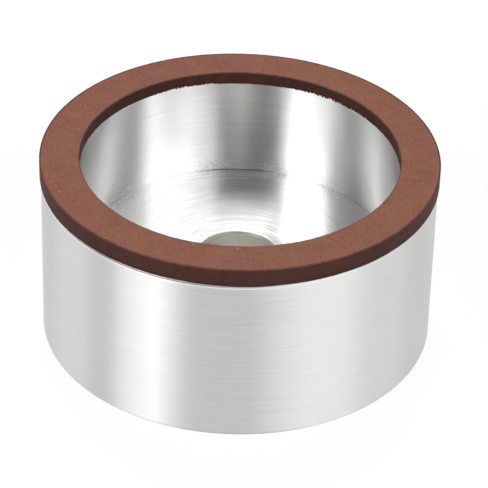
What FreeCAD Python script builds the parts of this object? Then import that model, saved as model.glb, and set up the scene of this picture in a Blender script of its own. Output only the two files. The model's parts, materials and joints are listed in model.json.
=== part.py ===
"""Straight cup grinding wheel: a turned aluminium cup with a resin-bonded diamond ring on its rim.

Millimetres, +Z up. The origin is the centre of the back face, the wheel's axis is +Z, and the grinding face
is on top. Every size is a cell of the sheet called Sizes, and both pieces take their sizes from it.
"""

import FreeCAD, Part
import os
import Sketcher

Vector = FreeCAD.Vector

SIZES = [
    ("outside_diameter", 100.0, "across the abrasive ring"),
    ("overall_height", 49.2, "back face to grinding face"),
    ("rim_width", 10.0, "width of the ring, and of the cup's wall with its overhang"),
    ("abrasive_depth", 4.7, "height of the ring at its outer side"),
    ("ring_overhang", 0.1, "how far the ring stands out past the cup's side"),
    ("ring_edge_break", 0.15, "edge broken by the dressing stick, inside and outside"),
    ("floor_thickness", 19.0, "back face to the floor of the cup"),
    ("floor_corner_radius", 0.5, "left by the nose of the turning tool"),
    ("bore_diameter", 20.0, "fits the spindle"),
    ("bore_chamfer", 0.5, "lead-in at both ends of the bore"),
    ("seat_lip_height", 1.3, "inner lip of the seat, which centres the ring"),
    ("seat_lip_width", 2.5, "inner lip of the seat, measured along the radius"),
    ("rim_chamfer", 0.4, "outer edge of the seat, under the ring"),
    ("back_chamfer", 0.3, "outer edge of the back face"),
]


def make_sheet(doc):
    """Write the sizes into a sheet: name, value and meaning in a row each, with the name as the value's alias."""
    sheet = doc.addObject("Spreadsheet::Sheet", "Sizes")
    for row, (name, value, meaning) in enumerate(SIZES, start=1):
        sheet.set(f"A{row}", name)
        sheet.set(f"B{row}", str(value))
        sheet.set(f"C{row}", meaning)
        sheet.setAlias(f"B{row}", name)
    doc.recompute()
    return sheet


def origin_plane(body, role):
    """Return the body's own origin plane that has this role."""
    return next(feature for feature in body.Origin.OriginFeatures if feature.Role == role)


def make_body(doc, name):
    """Start a sub-part whose label is also its file's name."""
    body = doc.addObject("PartDesign::Body", name)
    body.Label = name
    return body


def sketch_section(body, name, corners):
    """Sketch a closed half section through the axis, with every side along the radius or along the axis.

    The sketch's x is the radius and its y the height. Each side is held horizontal or vertical, so the
    section is fixed once each radius and each height of its corners is given.
    """
    sketch = body.newObject("Sketcher::SketchObject", name)
    sketch.AttachmentSupport = [(origin_plane(body, "XZ_Plane"), "")]
    sketch.MapMode = "FlatFace"
    sides = len(corners)
    for index, (radius, height) in enumerate(corners):
        next_radius, next_height = corners[(index + 1) % sides]
        sketch.addGeometry(Part.LineSegment(Vector(radius, height, 0), Vector(next_radius, next_height, 0)))
    for index, (_, height) in enumerate(corners):
        following = (index + 1) % sides
        level = abs(height - corners[following][1]) < 1e-9
        sketch.addConstraint(Sketcher.Constraint("Horizontal" if level else "Vertical", index))
        sketch.addConstraint(Sketcher.Constraint("Coincident", index, 2, following, 1))
    return sketch


def bind_corner(sketch, kind, corner, name, size, formula):
    """Hold a corner's radius (DistanceX) or height (DistanceY) from the origin to a formula of the sizes."""
    constraint = sketch.addConstraint(Sketcher.Constraint(kind, -1, 1, corner, 1, size))
    sketch.renameConstraint(constraint, name)
    sketch.setExpression(f"Constraints.{name}", formula)


def revolve(body, sketch, name):
    """Turn a half section all the way round the wheel's axis."""
    turned = body.newObject("PartDesign::Revolution", name)
    turned.Profile = sketch
    turned.ReferenceAxis = (sketch, ["V_Axis"])
    turned.Angle = 360.0
    sketch.Visibility = False
    return turned


def round_edge(shape, radius, height):
    """Return the name of the one circular edge about the axis with this radius at this height."""
    found = [
        f"Edge{number}"
        for number, edge in enumerate(shape.Edges, start=1)
        if isinstance(edge.Curve, Part.Circle)
        and abs(edge.Curve.Radius - radius) < 1e-4
        and abs(edge.Curve.Center.z - height) < 1e-4
    ]
    if len(found) != 1:
        raise RuntimeError(f"{len(found)} edges of radius {radius} at height {height}, where one is meant")
    return found[0]


def work_edges(doc, body, kind, name, edges, size_property, size_name):
    """Put a chamfer or a fillet on circular edges of the body as it is so far.

    Each edge is a pair of its radius and its height. The volume has to change, because an edge feature that
    misses its edges leaves the solid as it was.
    """
    base = body.Tip
    before = base.Shape.Volume
    feature = body.newObject(kind, name)
    feature.Base = (base, [round_edge(base.Shape, radius, height) for radius, height in edges])
    feature.setExpression(size_property, f"Sizes.{size_name}")
    doc.recompute()
    if abs(feature.Shape.Volume - before) < 1e-6:
        raise RuntimeError(f"{name} left the solid as it was")
    return feature


def make_cup_body(doc, sizes):
    """The aluminium cup: back, side, stepped seat for the ring, cup wall, floor and bore, turned in one piece."""
    outer = sizes.outside_diameter / 2 - sizes.ring_overhang
    inner = sizes.outside_diameter / 2 - sizes.rim_width
    lip = inner + sizes.seat_lip_width
    bore = sizes.bore_diameter / 2
    seat = sizes.overall_height - sizes.abrasive_depth
    lip_top = seat + sizes.seat_lip_height
    floor = sizes.floor_thickness

    body = make_body(doc, "cup_body")
    section = sketch_section(body, "cup_section", [
        (bore, 0.0),
        (outer, 0.0),
        (outer, seat),
        (lip, seat),
        (lip, lip_top),
        (inner, lip_top),
        (inner, floor),
        (bore, floor),
    ])
    section.addConstraint(Sketcher.Constraint("PointOnObject", 0, 1, -1))
    bind_corner(section, "DistanceX", 0, "bore_radius", bore, "Sizes.bore_diameter / 2")
    bind_corner(section, "DistanceX", 1, "outer_radius", outer,
                "Sizes.outside_diameter / 2 - Sizes.ring_overhang")
    bind_corner(section, "DistanceY", 2, "seat_height", seat,
                "Sizes.overall_height - Sizes.abrasive_depth")
    bind_corner(section, "DistanceX", 3, "lip_radius", lip,
                "Sizes.outside_diameter / 2 - Sizes.rim_width + Sizes.seat_lip_width")
    bind_corner(section, "DistanceY", 4, "lip_height", lip_top,
                "Sizes.overall_height - Sizes.abrasive_depth + Sizes.seat_lip_height")
    bind_corner(section, "DistanceX", 5, "cup_radius", inner,
                "Sizes.outside_diameter / 2 - Sizes.rim_width")
    bind_corner(section, "DistanceY", 6, "floor_height", floor, "Sizes.floor_thickness")
    revolve(body, section, "turned_cup")
    doc.recompute()

    work_edges(doc, body, "PartDesign::Fillet", "floor_corner",
               [(inner, floor)], "Radius", "floor_corner_radius")
    work_edges(doc, body, "PartDesign::Chamfer", "bore_lead_in",
               [(bore, 0.0), (bore, floor)], "Size", "bore_chamfer")
    work_edges(doc, body, "PartDesign::Chamfer", "rim_edge",
               [(outer, seat)], "Size", "rim_chamfer")
    work_edges(doc, body, "PartDesign::Chamfer", "back_edge",
               [(outer, 0.0)], "Size", "back_chamfer")
    return body


def make_abrasive_ring(doc, sizes):
    """The diamond ring: flat grinding face, plain sides, and a stepped underside that fits over the seat's lip."""
    outer = sizes.outside_diameter / 2
    inner = outer - sizes.rim_width
    lip = inner + sizes.seat_lip_width
    face = sizes.overall_height
    seat = face - sizes.abrasive_depth
    lip_top = seat + sizes.seat_lip_height

    body = make_body(doc, "abrasive_ring")
    section = sketch_section(body, "ring_section", [
        (lip, seat),
        (outer, seat),
        (outer, face),
        (inner, face),
        (inner, lip_top),
        (lip, lip_top),
    ])
    bind_corner(section, "DistanceX", 0, "lip_radius", lip,
                "Sizes.outside_diameter / 2 - Sizes.rim_width + Sizes.seat_lip_width")
    bind_corner(section, "DistanceY", 1, "seat_height", seat,
                "Sizes.overall_height - Sizes.abrasive_depth")
    bind_corner(section, "DistanceX", 2, "outer_radius", outer, "Sizes.outside_diameter / 2")
    bind_corner(section, "DistanceY", 3, "face_height", face, "Sizes.overall_height")
    bind_corner(section, "DistanceX", 4, "inner_radius", inner,
                "Sizes.outside_diameter / 2 - Sizes.rim_width")
    bind_corner(section, "DistanceY", 5, "lip_height", lip_top,
                "Sizes.overall_height - Sizes.abrasive_depth + Sizes.seat_lip_height")
    revolve(body, section, "moulded_ring")
    doc.recompute()

    work_edges(doc, body, "PartDesign::Chamfer", "dressed_edges",
               [(outer, face), (inner, face)], "Size", "ring_edge_break")
    return body


def check_document(doc, bodies):
    """Stop unless every object is up to date and every sub-part is one valid solid."""
    for thing in doc.Objects:
        if "Invalid" in thing.State or "Error" in thing.State:
            raise RuntimeError(f"{thing.Name} failed: {thing.State}")
    for body in bodies:
        shape = body.Shape
        if shape.isNull() or not shape.isValid() or len(shape.Solids) != 1:
            raise RuntimeError(f"{body.Label} is not one valid solid")
        print(f"{body.Label}: volume {shape.Volume:.1f} mm3")


def main():
    """Build the wheel and write one STEP file for each piece."""
    doc = FreeCAD.newDocument("cup_wheel")
    sizes = make_sheet(doc)
    bodies = [
        make_cup_body(doc, sizes),
        make_abrasive_ring(doc, sizes),
    ]
    for body in bodies:
        body.Placement = FreeCAD.Placement()
    doc.recompute()
    check_document(doc, bodies)
    os.makedirs("parts", exist_ok=True)
    for body in bodies:
        body.Shape.exportStep(f"parts/{body.Label}.step")


main()
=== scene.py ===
"""Looks of a cup grinding wheel: a turned aluminium cup with a resin-bonded diamond ring on its rim.

Metres, +Z up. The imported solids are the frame: the wheel's axis is the Z axis, its back face lies on the
floor at z = 0 and its grinding face is on top. Both solids are replaced by finer turned meshes of the same
size, apart from the cup's side, which narrows a little towards the ring. Their edges have the burr and the
crumbled spots of the real thing.
"""

import json
import logging
import math
from collections.abc import Callable, Mapping, Sequence
from dataclasses import dataclass
from enum import Enum
from typing import Any, Union

import bpy
from mathutils import Matrix, Vector, noise


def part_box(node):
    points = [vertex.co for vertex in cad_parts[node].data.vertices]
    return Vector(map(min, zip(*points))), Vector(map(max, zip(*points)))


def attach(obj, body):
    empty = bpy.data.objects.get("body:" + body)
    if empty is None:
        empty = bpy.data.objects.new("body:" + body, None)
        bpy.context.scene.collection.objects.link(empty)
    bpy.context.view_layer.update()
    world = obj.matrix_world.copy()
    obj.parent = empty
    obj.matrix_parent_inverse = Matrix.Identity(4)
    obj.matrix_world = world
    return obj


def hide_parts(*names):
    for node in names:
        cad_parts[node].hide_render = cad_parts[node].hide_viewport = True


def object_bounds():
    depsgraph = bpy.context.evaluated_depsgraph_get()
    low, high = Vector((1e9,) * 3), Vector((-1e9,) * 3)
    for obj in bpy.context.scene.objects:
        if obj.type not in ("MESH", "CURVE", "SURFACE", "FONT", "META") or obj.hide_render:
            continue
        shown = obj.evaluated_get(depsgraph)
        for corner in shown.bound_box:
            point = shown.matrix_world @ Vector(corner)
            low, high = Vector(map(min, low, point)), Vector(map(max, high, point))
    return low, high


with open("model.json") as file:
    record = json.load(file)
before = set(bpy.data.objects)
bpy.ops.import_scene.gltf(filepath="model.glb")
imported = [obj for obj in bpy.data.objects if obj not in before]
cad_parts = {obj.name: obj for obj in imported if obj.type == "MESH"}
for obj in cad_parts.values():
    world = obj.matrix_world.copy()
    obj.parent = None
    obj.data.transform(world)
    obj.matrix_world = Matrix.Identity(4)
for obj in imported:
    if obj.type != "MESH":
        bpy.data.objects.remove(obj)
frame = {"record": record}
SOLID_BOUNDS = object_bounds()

LOG = logging.getLogger("cup_wheel")
MM = 0.001

Value = Union[float, "Term"]
Colour = tuple[float, float, float]
Span = tuple[float, float]
Shift = Callable[[Vector, float], Vector]


class Term:
    """A node socket that takes part in arithmetic: each operator adds the Math node that does it."""

    def __init__(self, graph: "Graph", socket: bpy.types.NodeSocket) -> None:
        """Wrap one output socket.

        Args:
            graph: the graph that the socket's node is in.
            socket: the output socket.
        """
        self.graph = graph
        self.socket = socket

    def __add__(self, other: Value) -> "Term":
        """Return self + other."""
        return self.graph.math("ADD", self, other)

    def __radd__(self, other: Value) -> "Term":
        """Return other + self."""
        return self.graph.math("ADD", other, self)

    def __sub__(self, other: Value) -> "Term":
        """Return self - other."""
        return self.graph.math("SUBTRACT", self, other)

    def __rsub__(self, other: Value) -> "Term":
        """Return other - self."""
        return self.graph.math("SUBTRACT", other, self)

    def __mul__(self, other: Value) -> "Term":
        """Return self * other."""
        return self.graph.math("MULTIPLY", self, other)

    def __truediv__(self, other: Value) -> "Term":
        """Return self / other."""
        return self.graph.math("DIVIDE", self, other)

    def __pow__(self, other: Value) -> "Term":
        """Return self ** other."""
        return self.graph.math("POWER", self, other)


class Graph:
    """A node tree that is filled by Python expressions."""

    def __init__(self, tree: bpy.types.NodeTree) -> None:
        """Take over a node tree and empty it.

        Args:
            tree: the tree of a material or of the world.
        """
        self.tree = tree
        tree.nodes.clear()

    def node(
        self,
        kind: str,
        settings: Mapping[str, Any] | None = None,
        inputs: Mapping[str | int, Any] | None = None,
    ) -> bpy.types.Node:
        """Add a node.

        Args:
            kind: the node's type, without the leading "ShaderNode".
            settings: properties of the node, set before its sockets are used.
            inputs: values or links of its input sockets, by name or number.

        Returns:
            The new node.
        """
        made = self.tree.nodes.new("ShaderNode" + kind)
        for name, value in (settings or {}).items():
            setattr(made, name, value)
        for name, value in (inputs or {}).items():
            self._feed(made.inputs[name], value)
        return made

    def term(
        self,
        kind: str,
        settings: Mapping[str, Any] | None = None,
        inputs: Mapping[str | int, Any] | None = None,
        output: str | int = 0,
    ) -> Term:
        """Add a node and return one of its outputs.

        Args:
            kind: the node's type, without the leading "ShaderNode".
            settings: properties of the node, set first.
            inputs: values or links of its input sockets, by name or number.
            output: name or number of the output.

        Returns:
            The output as a term.
        """
        return Term(self, self.node(kind, settings, inputs).outputs[output])

    def math(self, operation: str, *values: Value) -> Term:
        """Add a Math node.

        Args:
            operation: the node's operation.
            values: its one, two or three numbers or terms.

        Returns:
            The result.
        """
        return self.term("Math", {"operation": operation}, dict(enumerate(values)))

    def step(self, value: Value, start: float, end: float) -> Term:
        """Go smoothly from 0 to 1 while a value goes from start to end.

        Args:
            value: the number that is looked at.
            start: where the step starts.
            end: where it ends, which may be lower than start.

        Returns:
            The step.
        """
        low, high = min(start, end), max(start, end)
        risen = self.term(
            "MapRange",
            {"interpolation_type": "SMOOTHSTEP"},
            {"Value": value, "From Min": low, "From Max": high},
        )
        return risen if end > start else 1.0 - risen

    def band(self, value: Value, middle: float, reach: float, flat: float = 0.0) -> Term:
        """Stand out round a middle.

        Args:
            value: the number that is looked at.
            middle: the middle of the band.
            reach: how far from the middle the band is 0.
            flat: how far from the middle it is still 1.

        Returns:
            The band, which falls smoothly from 1 to 0.
        """
        return self.step(self.math("ABSOLUTE", value - middle), reach, flat)

    def blend(self, share: Value, first: Any, second: Any) -> Term:
        """Mix two colours.

        Args:
            share: how much of the second colour is taken, from 0 to 1.
            first: colour or term.
            second: colour or term.

        Returns:
            The mixed colour.
        """
        return self.term("Mix", {"data_type": "RGBA"}, {0: share, 6: first, 7: second}, 2)

    def scaled(self, vector: Any, factor: Value) -> Term:
        """Multiply a colour or a place by a number.

        Args:
            vector: colour, place or term.
            factor: what it is multiplied by.

        Returns:
            The product.
        """
        return self.term("VectorMath", {"operation": "SCALE"}, {0: vector, "Scale": factor})

    def noise(self, spot: Term, size: float, detail: float = 2.0, roughness: float = 0.5) -> Term:
        """Add an even noise of about 0 to 1.

        Args:
            spot: the place that is looked at, in metres.
            size: size of its largest grains, in metres.
            detail: how many finer layers are added.
            roughness: how strong the finer layers are.

        Returns:
            The noise.
        """
        return self.term(
            "TexNoise", None, {"Vector": spot, "Scale": 1 / size, "Detail": detail, "Roughness": roughness}
        )

    def place(self) -> tuple[Term, Term, Term, Term]:
        """Return the surface point in the object's own space, and its x, y and z, in metres."""
        spot = self.term("TexCoord", None, None, "Object")
        parts = self.node("SeparateXYZ", None, {0: spot})
        x, y, z = (Term(self, parts.outputs[axis]) for axis in "XYZ")
        return spot, x, y, z

    def _feed(self, socket: bpy.types.NodeSocket, value: Any) -> None:
        """Link a term to a socket, or set the socket's own value."""
        if isinstance(value, Term):
            self.tree.links.new(value.socket, socket)
        elif isinstance(value, tuple) and len(value) == 3 and socket.type == "RGBA":
            socket.default_value = (*value, 1.0)
        else:
            socket.default_value = value


def new_material(name: str) -> tuple[bpy.types.Material, Graph]:
    """Make an empty material.

    Args:
        name: the material's name.

    Returns:
        The material and its graph.
    """
    material = bpy.data.materials.new(name)
    material.use_nodes = True
    return material, Graph(material.node_tree)


class EdgeBreak(Enum):
    """How a corner of a turned section is finished."""

    SHARP = "left sharp"
    CHAMFERED = "cut off at 45 degrees"
    ROUNDED = "rounded over"


class Surface(Enum):
    """The surfaces of the wheel that are finished in ways of their own, by their place in its materials."""

    WALL = 0
    FACE = 1
    BORE = 2


@dataclass(frozen=True)
class Corner:
    """A corner of a turned section, by its distance from the axis and its height above the back face.

    The section runs on from it along a surface of its own.
    """

    radius: float
    height: float
    finish: EdgeBreak = EdgeBreak.SHARP
    size: float = 0.0
    surface: Surface = Surface.WALL

    @property
    def spot(self) -> Vector:
        """The corner's place in the section."""
        return Vector((self.radius, self.height))


@dataclass(frozen=True)
class TurnedSection:
    """A closed section, anticlockwise from corner to corner, that is spun round the wheel's axis.

    The holds are distances from a rounded corner at which further points keep the flats flat, and edges
    that turn by more than the sharp angle, in degrees, are shaded sharp.
    """

    corners: tuple[Corner, ...]
    arc_steps: int = 4
    holds: tuple[float, ...] = (0.06 * MM, 0.4 * MM)
    sharp_angle: float = 32.0

    def outline(self) -> list[tuple[Vector, Surface]]:
        """Return the section's points with its corners broken.

        Returns:
            The points, each a distance from the axis and a height, with the surface that starts there.
        """
        made: list[tuple[Vector, Surface]] = []
        for number, corner in enumerate(self.corners):
            before = (self.corners[number - 1].spot - corner.spot).normalized()
            after = (self.corners[(number + 1) % len(self.corners)].spot - corner.spot).normalized()
            if corner.finish is EdgeBreak.SHARP:
                points = [corner.spot]
            elif corner.finish is EdgeBreak.CHAMFERED:
                points = [corner.spot + before * corner.size, corner.spot + after * corner.size]
            else:
                points = self._arc(corner, before, after)
            made.extend((point, corner.surface) for point in points)
        return made

    def _arc(self, corner: Corner, before: Vector, after: Vector) -> list[Vector]:
        """Round a square corner over, with points on each side that hold the flats flat.

        Args:
            corner: the corner.
            before: the way back along the section.
            after: the way on along the section.

        Returns:
            The arc's points.
        """
        centre = corner.spot + (before + after) * corner.size
        made = [corner.spot + before * (corner.size + hold) for hold in reversed(self.holds)]
        for step in range(self.arc_steps + 1):
            turn = step / self.arc_steps * math.pi / 2
            made.append(centre - (after * math.cos(turn) + before * math.sin(turn)) * corner.size)
        made.extend(corner.spot + after * (corner.size + hold) for hold in self.holds)
        return made

    def spin(self, name: str, steps: int, shift: Shift) -> bpy.types.Object:
        """Spin the section into a closed mesh.

        Args:
            name: the object's name.
            steps: how many times the section stands round the axis.
            shift: moves a point of the section at an angle.

        Returns:
            The new object, linked to the scene.
        """
        outline = self.outline()
        count = len(outline)
        vertices: list[tuple[float, float, float]] = []
        for step in range(steps):
            turn = math.tau * step / steps
            for point, _ in outline:
                spot = shift(point, turn)
                vertices.append((spot.x * math.cos(turn), spot.x * math.sin(turn), spot.y))
        faces = [
            (
                step * count + number,
                (step + 1) % steps * count + number,
                (step + 1) % steps * count + (number + 1) % count,
                step * count + (number + 1) % count,
            )
            for step in range(steps)
            for number in range(count)
        ]
        mesh = bpy.data.meshes.new(name)
        mesh.from_pydata(vertices, [], faces)
        for number, face in enumerate(mesh.polygons):
            face.material_index = outline[number % count][1].value
        mesh.shade_smooth()
        mesh.set_sharp_from_angle(angle=math.radians(self.sharp_angle))
        made = bpy.data.objects.new(name, mesh)
        bpy.context.scene.collection.objects.link(made)
        return made


@dataclass(frozen=True)
class RaggedEdge:
    """An edge that is uneven all along: crumbled away, or drawn out into a burr.

    Its middle and its spread are angles round the axis. Within half of its reach it is at its full depth.
    """

    corner: Vector
    way: Vector
    depth: float
    pitch: float
    share: float = 0.5
    sharpness: float = 1.0
    reach: float = 0.4 * MM
    middle: float = 0.0
    spread: float = math.inf
    fine_pitch: float = 1 / 2.7
    fine_share: float = 0.4

    def strength(self, turn: float) -> float:
        """Return how strong the edge is at an angle: 1 all round, or falling to 0 away from its middle."""
        apart = abs((turn - self.middle + math.pi) % math.tau - math.pi)
        return max(0.0, 1.0 - (apart / self.spread) ** 2)

    def move(self, point: Vector, turn: float) -> Vector:
        """Return how far a point has moved along the edge's way.

        Args:
            point: a point of the section.
            turn: its angle round the axis.

        Returns:
            The move, as a distance from the axis and a height.
        """
        near = 1.0 - (point - self.corner).length / self.reach
        strength = self.strength(turn)
        if near <= 0.0 or strength <= 0.0:
            return Vector((0.0, 0.0))
        spot = Vector((math.cos(turn), math.sin(turn), 0.0)) * (self.corner.x / self.pitch)
        spot.z = self.corner.y / self.pitch
        coarse = noise.noise(spot) * 0.5 + 0.5
        fine = noise.noise(spot / self.fine_pitch) * 0.5 + 0.5
        both = (1.0 - self.fine_share) * coarse + self.fine_share * fine
        gone = max(0.0, (both - (1.0 - self.share)) / self.share)
        return self.way * (self.depth * strength * gone**self.sharpness * min(1.0, near * 2.0))


def ragged(edges: Sequence[RaggedEdge]) -> Shift:
    """Return the function that moves a section's points as its ragged edges do."""

    def shift(point: Vector, turn: float) -> Vector:
        """Move a point of the section at an angle."""
        return point + sum((edge.move(point, turn) for edge in edges), Vector((0.0, 0.0)))

    return shift


@dataclass(frozen=True)
class Hollow:
    """The cup's hollow: its radius and the bore's, and the heights of its floor, its seam and its rim."""

    radius: float
    bore: float
    floor: float
    seam: float
    rim: float


class CupPlace:
    """A point of the cup's surface, in metres, and the parts of the cup that it may be on.

    Each part is 1 on it and 0 elsewhere. The edges of the parts are spans of the radius, counted from the
    hollow's wall, or of X. The fresh stretch is the one where the tool's lines are clearest; light is also
    painted there towards the lip and under the ring.
    """

    inside_edge: Span = (0.4 * MM, 0.1 * MM)
    outside_edge: Span = (4 * MM, 5 * MM)
    left_edge: Span = (8 * MM, -14 * MM)
    fresh_middle: float = -2 * MM
    fresh_reach: Span = (26 * MM, 8 * MM)

    def __init__(self, graph: Graph, cup: Hollow) -> None:
        """Read the point.

        Args:
            graph: the material's graph.
            cup: the hollow that the parts lie round.
        """
        self.graph = graph
        self.cup = cup
        self.spot, self.x, self.y, self.z = graph.place()
        self.radius = graph.math("SQRT", self.x * self.x + self.y * self.y)
        from_wall, above = self.radius - cup.radius, self.z - cup.floor
        self.from_corner = graph.math("SQRT", from_wall * from_wall + above * above)
        self.inside = graph.step(from_wall, *self.inside_edge)
        self.outside = graph.step(from_wall, *self.outside_edge)
        self.left = graph.step(self.x, *self.left_edge) * self.outside
        self.fresh = graph.band(self.x, self.fresh_middle, *self.fresh_reach)

    def line_below_rim(self, depth: float, reach: float) -> Term:
        """Return a line round the side, at a depth below the rim and with a reach up and down."""
        return self.graph.band(self.z, self.cup.rim - depth, reach) * self.outside

    def step_below_rim(self, depths: Span) -> Term:
        """Return a step that rises from the first depth below the rim to the second."""
        return self.graph.step(self.z, self.cup.rim - depths[0], self.cup.rim - depths[1])


@dataclass(frozen=True)
class DarkMarksAndPaintedShade:
    """Painted shade in the hollow's corner, at the foot, on the chamfers and under the ring, and the seam's
    line, each with the share of the light that it takes.

    Spans tell where a mark begins and where it is at its full strength.
    """

    # Painted shade in the hollow's corner.
    painted_corner_shade: float = 0.75
    corner_span: Span = (0.26 * MM, 0.05 * MM)
    corner_least: float = 0.12
    far_side_span: Span = (-1.4 * MM, -0.4 * MM)
    seam: float = 0.2
    seam_reach: float = 0.16 * MM
    seam_middle: float = 2 * MM
    seam_stretch: Span = (13 * MM, 6 * MM)
    # Painted shadow: a dark line round the side just under the ring, at the left.
    painted_gap_shadow: float = 0.9
    painted_gap_shadow_depth: float = 0.62 * MM
    painted_gap_shadow_reach: float = 0.17 * MM
    # Painted shadow round the cup's foot, where it stands on the floor.
    foot: float = 0.3
    painted_foot_shade_span: Span = (0.7 * MM, 0.3 * MM)
    # Painted shade on the chamfer under the ring, and less on the bore's chamfer.
    chamfer: float = 0.62
    ring_chamfer_depths: Span = (0.42 * MM, 0.36 * MM)
    bore_chamfer_width: float = 0.48 * MM
    bore_chamfer_span: Span = (-0.52 * MM, -0.46 * MM)
    bore_chamfer_share: float = 0.75

    def light_left(self, graph: Graph, place: CupPlace, patches: Term) -> Term:
        """Return how much light the marks leave.

        Args:
            graph: the material's graph.
            place: the point of the surface.
            patches: where the seam's line shows.

        Returns:
            The share that is left.
        """
        cup = place.cup
        far = graph.step(place.y - cup.radius, *self.far_side_span)
        # Painted shade in the hollow's corner, strongest on the far side.
        corner_shade = graph.step(place.from_corner, *self.corner_span) * place.inside
        corner_shade = corner_shade * (self.corner_least + far * (1.0 - self.corner_least))
        seam = graph.band(place.z, cup.seam, self.seam_reach) * place.inside
        seam = seam * (patches + graph.band(place.x, self.seam_middle, *self.seam_stretch))
        # Painted shadow: a dark line under the ring's overhang, at the left.
        painted_gap_shadow = place.line_below_rim(self.painted_gap_shadow_depth, self.painted_gap_shadow_reach) * place.left
        # Painted shadow: darker at the foot, where the cup stands on the floor.
        foot = graph.step(place.z, *self.painted_foot_shade_span)
        left = 1.0 - corner_shade * self.painted_corner_shade
        left = left * (1.0 - seam * self.seam)
        left = left * (1.0 - painted_gap_shadow * self.painted_gap_shadow)
        left = left * (1.0 - foot * self.foot)
        return left * (1.0 - self._chamfers(graph, place) * self.chamfer)

    def _chamfers(self, graph: Graph, place: CupPlace) -> Term:
        """Return where shade is painted on the chamfers: 1 on the chamfer below the ring, less at the
        bore's inner end, and 0 elsewhere.
        """
        cup = place.cup
        on_side = graph.math("GREATER_THAN", place.radius, cup.radius + place.outside_edge[1])
        in_bore = graph.math("LESS_THAN", place.radius, cup.bore + self.bore_chamfer_width)
        in_bore = in_bore * graph.step(place.z - cup.floor, *self.bore_chamfer_span)
        return place.step_below_rim(self.ring_chamfer_depths) * on_side + in_bore * self.bore_chamfer_share


@dataclass(frozen=True)
class Chatter:
    """Pecks and grit that the tool has left round the hollow's corner, in stretches along X.

    The stretches come evenly and are thinner towards the left, where a strong one lies apart.
    """

    depth: float = 0.20 * MM
    grain: float = 0.50 * MM
    reach: float = 10.0 * MM
    fall: float = 3.5
    share: float = 0.36
    peck_levels: Span = (0.82, 0.92)
    stretch_pitch: float = 16.0 * MM
    stretch_middle: float = -7 * MM
    stretch_mean: float = 0.5
    stretch_swing: float = 0.4
    thinner: float = 0.65
    thinner_span: Span = (-11 * MM, -19 * MM)
    apart: float = 0.85
    apart_middle: float = -31 * MM
    apart_reach: float = 7 * MM
    uneven: float = 1.5
    uneven_size: float = 5 * MM
    grit_contrast: float = 2.0
    grit_limit: float = 0.6
    grit_grain: float = 0.6
    grit_pattern: float = 1.19

    def strength(self, graph: Graph, place: CupPlace) -> Term:
        """Return how rough the surface is.

        Args:
            graph: the material's graph.
            place: the point of the surface.

        Returns:
            The roughness, which is highest in the corner.
        """
        turn = (place.x - self.stretch_middle) * (math.tau / self.stretch_pitch)
        wave = graph.math("COSINE", turn) * self.stretch_swing + self.stretch_mean
        wave = wave * (1.0 - graph.step(place.x, *self.thinner_span) * self.thinner)
        apart = graph.band(place.x, self.apart_middle, self.apart_reach) * self.apart
        uneven = (graph.noise(place.spot, self.uneven_size, detail=2.0) - 0.5) * self.uneven
        wave = graph.math("MAXIMUM", graph.math("MAXIMUM", wave, apart) + uneven, 0.0)
        return graph.step(place.from_corner, self.reach, 0.0) ** self.fall * place.inside * wave

    def pecks(self, graph: Graph, place: CupPlace, strength: Term) -> Term:
        """Return how high the pecks stand, from none to all of their depth."""
        pecks = graph.noise(place.spot, self.grain, detail=0.0) + strength * self.share
        return graph.step(pecks, *self.peck_levels) * self.depth

    def grit(self, graph: Graph, place: CupPlace, strength: Term) -> Term:
        """Return how much lighter or darker the grit makes the metal."""
        spot = graph.scaled(place.spot, self.grit_pattern)
        grit = graph.noise(spot, self.grain * self.grit_grain, detail=0.0)
        return 1.0 + (grit - 0.5) * graph.math("MINIMUM", strength, self.grit_limit) * self.grit_contrast


@dataclass(frozen=True)
class StripUnderRing:
    """The side just under the ring: a painted highlight line, and at the left a grey strip of dust with
    painted shade.
    """

    painted_highlight: float = 0.8
    painted_highlight_depth: float = 0.95 * MM
    painted_highlight_reach: float = 0.3 * MM
    painted_highlight_least: float = 0.15
    painted_highlight_gain: float = 0.65
    painted_highlight_haze: float = 0.5
    painted_highlight_colour: Colour = (0.95, 0.95, 0.94)
    # Grey strip under the ring at the left: dust, and also painted shade of the ring's overhang.
    dust_and_shade_depths: Span = (0.56 * MM, 0.50 * MM)
    dust_and_shade_haze: float = 0.8
    dust_and_shade_colour: Colour = (0.40, 0.38, 0.37)

    def dress(self, graph: Graph, place: CupPlace, metal: Term) -> tuple[Term, Term]:
        """Paint the highlight line and the grey strip of dust and shade on the metal.

        Args:
            graph: the material's graph.
            place: the point of the surface.
            metal: the metal's colour.

        Returns:
            The colour, and how much of the surface is bare metal.
        """
        # Painted highlight: a bright line round the side below the ring, strongest in the fresh and left
        # stretches.
        painted_highlight = place.line_below_rim(self.painted_highlight_depth, self.painted_highlight_reach)
        stronger = graph.math("MAXIMUM", place.fresh, place.left)
        painted_highlight = painted_highlight * (self.painted_highlight_least + stronger * self.painted_highlight_gain) * self.painted_highlight
        # Grey strip under the ring at the left: dust, and also painted shade of the ring's overhang.
        dust_and_shade = place.step_below_rim(self.dust_and_shade_depths) * place.left
        colour = graph.blend(painted_highlight, metal, self.painted_highlight_colour)
        colour = graph.blend(dust_and_shade, colour, self.dust_and_shade_colour)
        return colour, (1.0 - painted_highlight * self.painted_highlight_haze) * (1.0 - dust_and_shade * self.dust_and_shade_haze)


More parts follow.
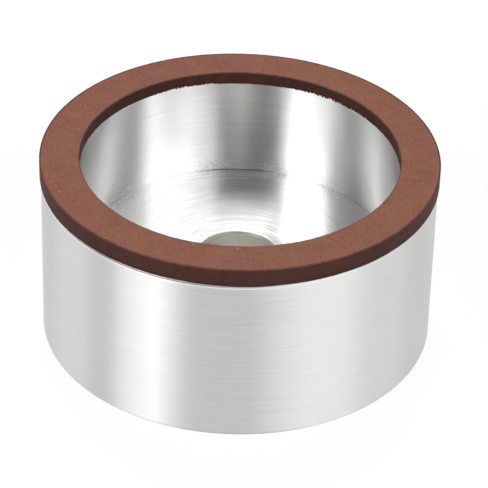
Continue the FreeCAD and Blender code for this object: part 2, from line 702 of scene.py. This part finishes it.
@dataclass(frozen=True)
class TurnedAluminium:
    """Satin aluminium as the lathe leaves it: fine lines round the axis, and light drawn out across them.

    The gloss is the share of a second shine that spreads evenly. Light is painted on the wall towards the
    lip.
    """

    name: str
    roughness: float
    anisotropy: float
    colour: Colour = (0.712, 0.712, 0.704)
    roughness_swing: float = 0.06
    anisotropy_turn: float = 0.25
    gloss: float = 0.0
    gloss_roughness: float = 0.2
    line_pitch: float = 0.45 * MM
    line_length: float = 16 * MM
    line_depth: float = 0.010 * MM
    line_detail: float = 1.5
    line_roughness: float = 0.6
    line_contrast: float = 0.22
    line_least: float = 0.3
    line_fresh: float = 0.6
    line_patchy: float = 0.4
    patch_size: float = 22 * MM
    patch_levels: Span = (0.42, 0.6)
    smudge_size: float = 16 * MM
    smudge_contrast: float = 0.05
    # Painted light on the hollow's wall towards the lip.
    painted_lip_light: float = 0.27
    lip_start: float = 8 * MM
    marks: DarkMarksAndPaintedShade = DarkMarksAndPaintedShade()
    chatter: Chatter = Chatter()
    strip: StripUnderRing = StripUnderRing()

    def material(self, cup: Hollow) -> bpy.types.Material:
        """Make the material.

        Args:
            cup: the hollow that the tool's marks gather round.

        Returns:
            The material.
        """
        material, graph = new_material(self.name)
        place = CupPlace(graph, cup)
        lines = self._lines(graph, place)
        smudges = graph.noise(place.spot, self.smudge_size, detail=3.0)
        patches = graph.step(graph.noise(place.spot, self.patch_size, detail=1.0), *self.patch_levels)
        rough = self.chatter.strength(graph, place)
        clearness = self.line_least + place.fresh * self.line_fresh + patches * self.line_patchy
        shade = 1.0 + (lines - 0.5) * self.line_contrast * clearness
        shade = shade + (smudges - 0.5) * self.smudge_contrast
        towards_lip = graph.step(place.z, cup.floor + self.lip_start, cup.rim) * place.inside
        # Painted light: the wall is lighter towards the lip in the fresh stretch.
        shade = shade * (1.0 + towards_lip * place.fresh * self.painted_lip_light)
        shade = shade * self.marks.light_left(graph, place, patches)
        shade = shade * self.chatter.grit(graph, place, rough)
        relief = lines * self.line_depth + self.chatter.pecks(graph, place, rough)
        height = graph.term("Bump", None, {"Strength": 1.0, "Distance": 1.0, "Height": relief})
        colour, metallic = self.strip.dress(graph, place, graph.scaled(self.colour, shade))
        roughness = self.roughness + (lines - 0.5) * self.roughness_swing
        shine = self._shine(graph, colour, metallic, height, self.anisotropy, roughness)
        if self.gloss:
            roughness = self.gloss_roughness + (smudges - 0.5) * self.roughness_swing
            even = self._shine(graph, colour, metallic, height, 0.0, roughness)
            shine = graph.term("MixShader", None, {0: self.gloss, 1: shine, 2: even})
        graph.node("OutputMaterial", None, {"Surface": shine})
        return material

    def _shine(
        self, graph: Graph, colour: Term, metallic: Term, height: Term, anisotropy: float, roughness: Term
    ) -> Term:
        """Make a metal shader whose light is drawn out across the tool's lines.

        Args:
            graph: the material's graph.
            colour: the metal's colour.
            metallic: how much of it is bare metal.
            height: the relief that bends its normals.
            anisotropy: how much the light is drawn out.
            roughness: how far it spreads.

        Returns:
            The shader.
        """
        return graph.term(
            "BsdfPrincipled",
            None,
            {
                "Base Color": colour,
                "Metallic": metallic,
                "Roughness": roughness,
                "Anisotropic": anisotropy,
                "Anisotropic Rotation": self.anisotropy_turn,
                "Normal": height,
            },
        )

    def _lines(self, graph: Graph, place: CupPlace) -> Term:
        """Return the tool's lines: quick changes along the section, slow ones round the axis."""
        across, up = place.radius / self.line_pitch, place.z / self.line_pitch
        along_x, along_y = place.x / self.line_length, place.y / self.line_length
        return graph.term(
            "TexNoise",
            {"noise_dimensions": "4D"},
            {
                "Vector": graph.term("CombineXYZ", None, {0: across, 1: up, 2: along_x}),
                "W": along_y,
                "Scale": 1.0,
                "Detail": self.line_detail,
                "Roughness": self.line_roughness,
            },
        )


@dataclass(frozen=True)
class ResinBond:
    """Brown resin bond with fine diamond grain: dressed and dull on its face, moulded on its sides.

    The edge strip is the strip along each edge of the face that keeps the side's darker colour. It is wider
    on the far side. A pattern scales the place that a noise looks at, so that no two noises have the same
    spots.
    """

    face_height: float
    foot_height: float
    inner_radius: float
    outer_radius: float
    face_colour: Colour = (0.186, 0.0735, 0.0540)
    mottle_colour: Colour = (0.162, 0.0725, 0.0445)
    side_colour: Colour = (0.046, 0.0172, 0.0128)
    # The edge break is lighter: worn like the face, and a painted highlight.
    worn_and_highlit_break_colour: Colour = (0.150, 0.062, 0.042)
    speck_colour: Colour = (0.62, 0.50, 0.42)
    edge_strip: float = 0.32 * MM
    edge_strip_grain: float = 0.6 * MM
    edge_strip_swing: float = 0.5
    edge_strip_near: float = 0.9
    edge_strip_far: float = 0.6
    edge_strip_far_span: Span = (-25 * MM, 25 * MM)
    inner_edge_strip: float = 0.6
    face_span: Span = (-0.05 * MM, -0.005 * MM)
    break_depth: float = 0.1 * MM
    break_reach: float = 0.12 * MM
    grain: float = 0.35 * MM
    grain_contrast: float = 1.1
    mottle_size: float = 1.8 * MM
    mottle_levels: Span = (0.35, 0.65)
    mottle_contrast: float = 0.5
    mottle_pattern: float = 0.83
    cloud_size: float = 7 * MM
    cloud_contrast: float = 0.3
    speck_size: float = 0.9 * MM
    speck_levels: Span = (0.86, 0.90)
    speck_share: float = 0.5
    pit_size: float = 0.8 * MM
    pit_levels: Span = (0.82, 0.87)
    pit_shade: float = 0.6
    pit_depth: float = 1.5
    pit_pattern: float = 1.37
    foot_reach: float = 1.6 * MM
    foot_shade: float = 0.25
    relief_depth: float = 0.03 * MM
    relief_strength: float = 0.8
    side_roughness: float = 0.65
    face_roughness: float = 0.2
    shine: float = 0.12

    def material(self, name: str) -> bpy.types.Material:
        """Make the material.

        Args:
            name: the material's name.

        Returns:
            The material.
        """
        material, graph = new_material(name)
        spot, x, y, z = graph.place()
        on_face = self._between_edge_strips(graph, spot, graph.math("SQRT", x * x + y * y), y)
        on_face = graph.step(z - self.face_height, *self.face_span) * on_face
        on_break = graph.band(z, self.face_height - self.break_depth, self.break_reach) * (1.0 - on_face)
        grain = graph.noise(spot, self.grain, detail=2.0, roughness=0.6)
        clouds = graph.noise(spot, self.cloud_size, detail=3.0)
        mottle = graph.noise(graph.scaled(spot, self.mottle_pattern), self.mottle_size, detail=2.0)
        specks = graph.step(graph.noise(spot, self.speck_size, detail=0.0), *self.speck_levels)
        pits = graph.noise(graph.scaled(spot, self.pit_pattern), self.pit_size, detail=0.0)
        pits = graph.step(pits, *self.pit_levels)
        foot = graph.step(z, self.foot_height + self.foot_reach, self.foot_height) * (1.0 - on_face)
        face = graph.blend(graph.step(mottle, *self.mottle_levels), self.face_colour, self.mottle_colour)
        # The edge break under the face is lighter: worn like the face, and a painted highlight.
        side = graph.blend(on_break, self.side_colour, self.worn_and_highlit_break_colour)
        base = graph.blend(on_face, side, face)
        base = graph.blend(specks * on_face * self.speck_share, base, self.speck_colour)
        shade = 1.0 + (grain - 0.5) * self.grain_contrast
        shade = shade + (mottle - 0.5) * self.mottle_contrast + (clouds - 0.5) * self.cloud_contrast
        shade = shade * (1.0 - pits * self.pit_shade) * (1.0 - foot * self.foot_shade)
        height = graph.term(
            "Bump",
            None,
            {
                "Strength": self.relief_strength,
                "Distance": self.relief_depth,
                "Height": grain - pits * self.pit_depth,
            },
        )
        shader = graph.term(
            "BsdfPrincipled",
            None,
            {
                "Base Color": graph.scaled(base, shade),
                "Roughness": self.side_roughness + on_face * self.face_roughness,
                "Specular IOR Level": self.shine,
                "Normal": height,
            },
        )
        graph.node("OutputMaterial", None, {"Surface": shader})
        return material

    def _between_edge_strips(self, graph: Graph, spot: Term, radius: Term, y: Term) -> Term:
        """Return 1 on the face between its darker edge strips, and 0 on them."""
        uneven = (graph.noise(spot, self.edge_strip_grain, detail=1.0) - 0.5) * self.edge_strip * self.edge_strip_swing
        edge = (self.edge_strip + uneven) * (self.edge_strip_near + graph.step(y, *self.edge_strip_far_span) * self.edge_strip_far)
        dressed = graph.math("GREATER_THAN", radius, self.inner_radius + edge * self.inner_edge_strip)
        return dressed * graph.math("LESS_THAN", radius, self.outer_radius - edge)


def outer_radius(node: str) -> float:
    """Return the largest radius that stays inside a node's box on every side."""
    low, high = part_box(node)
    return min(-low.x, high.x, -low.y, high.y)


@dataclass(frozen=True)
class Burr:
    """A length of rough burr on the lip, with its middle and its spread in degrees round the axis."""

    height: float
    middle: float
    spread: float


@dataclass
class MetalCup:
    """The cup: back, bore, outside, seat for the ring, and the hollow with its flat floor.

    The side is drawn in by a little where it meets the ring.
    """

    node: str = "cup_body"
    cup_radius: float = 40.0 * MM
    seat_height: float = 44.5 * MM
    lip_width: float = 2.5 * MM
    rim_chamfer: float = 0.4 * MM
    back_chamfer: float = 0.3 * MM
    bore_chamfer: float = 0.5 * MM
    lip_break: float = 0.06 * MM
    draw_in: float = 0.25 * MM
    seam_below_lip: float = 5.8 * MM
    burrs: tuple[Burr, ...] = (Burr(1.9 * MM, 55.0, 24.0), Burr(1.33 * MM, 111.0, 18.0))
    burr_way: tuple[float, float] = (-0.04, 1.0)
    burr_pitch: float = 0.24 * MM
    burr_share: float = 0.68
    burr_sharpness: float = 1.4
    slight_burr: float = 0.228 * MM
    slight_burr_pitch: float = 0.5 * MM
    steps: int = 1440
    wall: TurnedAluminium = TurnedAluminium("turned_walls", roughness=0.32, anisotropy=1.0)
    face: TurnedAluminium = TurnedAluminium(
        "faced_floor",
        roughness=0.42,
        anisotropy=1.0,
        gloss=0.5,
        gloss_roughness=0.2,
        line_pitch=1.1 * MM,
        line_length=14 * MM,
        line_depth=0.22 * MM,
        line_contrast=0.40,
    )
    bore: TurnedAluminium = TurnedAluminium(
        "bored_hole", roughness=0.55, anisotropy=0.3, colour=(0.68, 0.67, 0.61), line_contrast=0.3
    )

    def build(self) -> bpy.types.Object:
        """Turn the cup and dress it.

        Returns:
            The cup.
        """
        low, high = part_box(self.node)
        mounts = {mount["name"]: mount for mount in frame["record"]["mounts"]}
        bore = mounts["bore"]["dims"]["r_mm"] * MM
        outside = outer_radius(self.node)
        floor = mounts["floor_face"]["pos_m"][2]
        drawn_in = outside - self.draw_in
        lip = self.cup_radius + self.lip_width
        section = TurnedSection(
            (
                Corner(bore, low.z, EdgeBreak.CHAMFERED, self.bore_chamfer, Surface.FACE),
                Corner(outside, low.z, EdgeBreak.CHAMFERED, self.back_chamfer, Surface.WALL),
                Corner(drawn_in, self.seat_height, EdgeBreak.CHAMFERED, self.rim_chamfer, Surface.WALL),
                Corner(lip, self.seat_height, surface=Surface.WALL),
                Corner(lip, high.z, surface=Surface.FACE),
                Corner(self.cup_radius, high.z, EdgeBreak.ROUNDED, self.lip_break, Surface.WALL),
                Corner(self.cup_radius, floor, surface=Surface.FACE),
                Corner(bore, floor, EdgeBreak.CHAMFERED, self.bore_chamfer, Surface.BORE),
            )
        )
        cup = section.spin("turned_cup", self.steps, ragged(self._burred_lip(high.z)))
        hollow = Hollow(self.cup_radius, bore, floor, high.z - self.seam_below_lip, self.seat_height)
        for finish in (self.wall, self.face, self.bore):
            cup.data.materials.append(finish.material(hollow))
        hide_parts(self.node)
        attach(cup, "root")
        return cup

    def _burred_lip(self, height: float) -> tuple[RaggedEdge, ...]:
        """Return the burr that the tool has drawn up the lip: slight all round, and rough in places.

        Args:
            height: the lip's height.

        Returns:
            The lengths of burr.
        """
        lip, way = Vector((self.cup_radius, height)), Vector(self.burr_way)
        rough = tuple(
            RaggedEdge(
                lip,
                way,
                burr.height,
                self.burr_pitch,
                share=self.burr_share,
                sharpness=self.burr_sharpness,
                middle=math.radians(burr.middle),
                spread=math.radians(burr.spread),
            )
            for burr in self.burrs
        )
        return (RaggedEdge(lip, way, self.slight_burr, self.slight_burr_pitch), *rough)


@dataclass
class BondedRing:
    """The diamond ring, stepped underneath so that it fits over the cup's lip, with crumbled edges."""

    node: str = "abrasive_ring"
    inner_radius: float = 40.0 * MM
    lip_width: float = 2.5 * MM
    lip_height: float = 45.8 * MM
    edge_break: float = 0.15 * MM
    inner_break: float = 0.09 * MM
    steps: int = 1440

    def build(self) -> bpy.types.Object:
        """Mould the ring, crumble its edges and dress it.

        Returns:
            The ring.
        """
        low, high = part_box(self.node)
        outside = outer_radius(self.node)
        grip = self.inner_radius + self.lip_width
        section = TurnedSection(
            (
                Corner(outside, low.z, EdgeBreak.ROUNDED, self.edge_break),
                Corner(outside, high.z, EdgeBreak.ROUNDED, self.edge_break),
                Corner(self.inner_radius, high.z, EdgeBreak.ROUNDED, self.edge_break),
                Corner(self.inner_radius, self.lip_height, EdgeBreak.ROUNDED, self.inner_break),
                Corner(grip, self.lip_height),
                Corner(grip, low.z),
            )
        )
        lower, upper = Vector((outside, low.z)), Vector((outside, high.z))
        inner_upper = Vector((self.inner_radius, high.z))
        inner_lower = Vector((self.inner_radius, self.lip_height))
        crumbled = (
            RaggedEdge(lower, way=Vector((-0.5, 1.0)), depth=0.12 * MM, pitch=0.9 * MM),
            RaggedEdge(upper, way=Vector((-1.0, -1.0)), depth=0.05 * MM, pitch=0.8 * MM),
            RaggedEdge(inner_upper, way=Vector((1.0, -1.0)), depth=0.10 * MM, pitch=0.7 * MM),
            RaggedEdge(inner_lower, way=Vector((0.6, 1.0)), depth=0.25 * MM, pitch=0.6 * MM),
        )
        ring = section.spin("bonded_ring", self.steps, ragged(crumbled))
        bond = ResinBond(high.z, low.z, self.inner_radius, outside)
        ring.data.materials.append(bond.material("resin_bond"))
        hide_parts(self.node)
        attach(ring, "root")
        return ring


@dataclass(frozen=True)
class Panel:
    """A lit panel of the light tent, as the wheel sees it.

    Angles are in degrees. Azimuths count from the camera's side towards +X, elevations from the floor up.
    Each edge is the width over which the light fades.
    """

    start: float
    end: float
    low: float
    high: float
    level: float
    start_edge: float
    end_edge: float
    height_edge: float = 8.0

    def light(self, graph: Graph, azimuth: Term, elevation: Term) -> Term:
        """Return the panel's light in a direction.

        Args:
            graph: the world's graph.
            azimuth: the direction's azimuth, in degrees.
            elevation: the direction's elevation, in degrees.

        Returns:
            The light that the panel adds.
        """
        middle, half = (self.start + self.end) / 2, (self.end - self.start) / 2
        aside = graph.math("WRAP", azimuth - middle, 180.0, -180.0)
        entered = graph.step(aside, -half - self.start_edge / 2, -half + self.start_edge / 2)
        left = graph.step(aside, half - self.end_edge / 2, half + self.end_edge / 2)
        risen = graph.step(elevation, self.low - self.height_edge / 2, self.low + self.height_edge / 2)
        passed = graph.step(elevation, self.high - self.height_edge / 2, self.high + self.height_edge / 2)
        return entered * (1.0 - left) * risen * (1.0 - passed) * self.level


@dataclass
class Studio:
    """A pale floor in a dim light tent with panels.

    There is a soft box on each side of the camera, in two tiers each, a light high up behind the wheel and
    a low one far to the left.
    """

    tent_level: float = 0.10
    tent_in_metal: float = 0.055
    panels: tuple[Panel, ...] = (
        Panel(-68.5, -41.4, 19.5, 39.5, 10.5, 8.5, 3.4),
        Panel(-50.5, -32.4, 27.6, 44.9, 11.0, 7.2, 3.8),
        Panel(18.1, 73.9, 27.7, 41.2, 8.5, 13.5, 13.8),
        Panel(32.6, 106.1, 19.6, 31.6, 4.3, 16.0, 7.6),
        Panel(166.6, 201.5, 45.6, 71.4, 13.8, 7.1, 7.1),
        Panel(-117.0, -87.0, 16.6, 23.7, 7.0, 9.9, 7.0),
    )
    floor_size: float = 6.0
    floor_colour: Colour = (0.80, 0.80, 0.80)
    floor_glow: float = 0.9

    def build(self) -> None:
        """Make the world and the floor."""
        self._make_world()
        self._make_floor()

    def _make_world(self) -> None:
        """Make a world that is white to the eye and a light tent to the rest, a bit brighter in metal."""
        world = bpy.data.worlds.new("light_tent")
        world.use_nodes = True
        bpy.context.scene.world = world
        graph = Graph(world.node_tree)
        way = graph.node("SeparateXYZ", None, {0: graph.term("TexCoord", None, None, "Generated")})
        x, y, z = (Term(graph, way.outputs[axis]) for axis in "XYZ")
        azimuth = graph.math("ARCTAN2", x, 0.0 - y) * math.degrees(1)
        elevation = graph.math("ARCSINE", z) * math.degrees(1)
        path = graph.node("LightPath")
        level: Value = self.tent_level + Term(graph, path.outputs["Is Glossy Ray"]) * self.tent_in_metal
        for panel in self.panels:
            level = level + panel.light(graph, azimuth, elevation)
        seen = Term(graph, path.outputs["Is Camera Ray"]) + Term(graph, path.outputs["Is Transmission Ray"])
        seen = graph.math("MINIMUM", seen, 1.0)
        strength = level * (1.0 - seen) + seen
        back = graph.term("Background", None, {"Color": (1.0, 1.0, 1.0), "Strength": strength})
        graph.node("OutputWorld", None, {"Surface": back})

    def _make_floor(self) -> None:
        """Make a matt pale floor that shows white to the eye and in the metal, and keeps a soft shadow."""
        half = self.floor_size / 2
        mesh = bpy.data.meshes.new("floor")
        corners = [(-half, -half, 0.0), (half, -half, 0.0), (half, half, 0.0), (-half, half, 0.0)]
        mesh.from_pydata(corners, [], [(0, 1, 2, 3)])
        floor = bpy.data.objects.new("floor", mesh)
        bpy.context.scene.collection.objects.link(floor)
        material, graph = new_material("floor")
        path = graph.node("LightPath")
        seen = graph.math(
            "MINIMUM",
            Term(graph, path.outputs["Is Camera Ray"])
            + Term(graph, path.outputs["Is Glossy Ray"])
            + Term(graph, path.outputs["Is Transmission Ray"]),
            1.0,
        )
        matt = graph.term("BsdfDiffuse", None, {"Color": self.floor_colour})
        glow = graph.term("Emission", None, {"Color": (1.0, 1.0, 1.0), "Strength": 1.0})
        both = graph.term("MixShader", None, {0: seen * self.floor_glow, 1: matt, 2: glow})
        graph.node("OutputMaterial", None, {"Surface": both})
        mesh.materials.append(material)


@dataclass
class Camera:
    """A long lens that looks down into the cup.

    The picture is square, and its places are given in its pixels from the upper left corner.
    """

    picture: float = 488.0
    elevation: float = 34.564
    roll: float = 1.653
    distance: float = 631.8 * MM
    focal_pixels: float = 2536.5
    face_centre: tuple[float, float] = (240.28, 154.82)
    sensor: float = 36.0
    nearest: float = 50 * MM

    def build(self) -> None:
        """Place the camera so that the centre of the grinding face falls where the picture has it."""
        tilt, roll = math.radians(self.elevation), math.radians(self.roll)
        back = Vector((0.0, -math.cos(tilt), math.sin(tilt)))
        level = Vector((1.0, 0.0, 0.0))
        upright = back.cross(level)
        right = math.cos(roll) * level + math.sin(roll) * upright
        up = math.cos(roll) * upright - math.sin(roll) * level
        scale = self.distance / self.focal_pixels
        aside = (self.face_centre[0] - self.picture / 2) * scale
        above = (self.picture / 2 - self.face_centre[1]) * scale
        face = Vector((0.0, 0.0, SOLID_BOUNDS[1].z))
        place = face - aside * right - above * up + self.distance * back

        data = bpy.data.cameras.new("camera")
        data.sensor_width = self.sensor
        data.lens = self.focal_pixels * self.sensor / self.picture
        data.clip_start = self.nearest
        camera = bpy.data.objects.new("camera", data)
        camera.matrix_world = Matrix.Translation(place) @ Matrix(
            ((right.x, up.x, back.x), (right.y, up.y, back.y), (right.z, up.z, back.z))
        ).to_4x4()
        bpy.context.scene.collection.objects.link(camera)
        bpy.context.scene.camera = camera


def report(piece: bpy.types.Object) -> None:
    """Log a piece's size in triangles."""
    triangles = sum(len(face.vertices) - 2 for face in piece.data.polygons)
    LOG.info("%s: %d triangles", piece.name, triangles)


def main() -> None:
    """Build the wheel and its studio."""
    logging.basicConfig(level=logging.INFO, format="%(name)s: %(message)s")
    bpy.context.scene.view_settings.view_transform = "Standard"
    Camera().build()
    report(MetalCup().build())
    report(BondedRing().build())
    Studio().build()


if __name__ == "__main__":
    main()
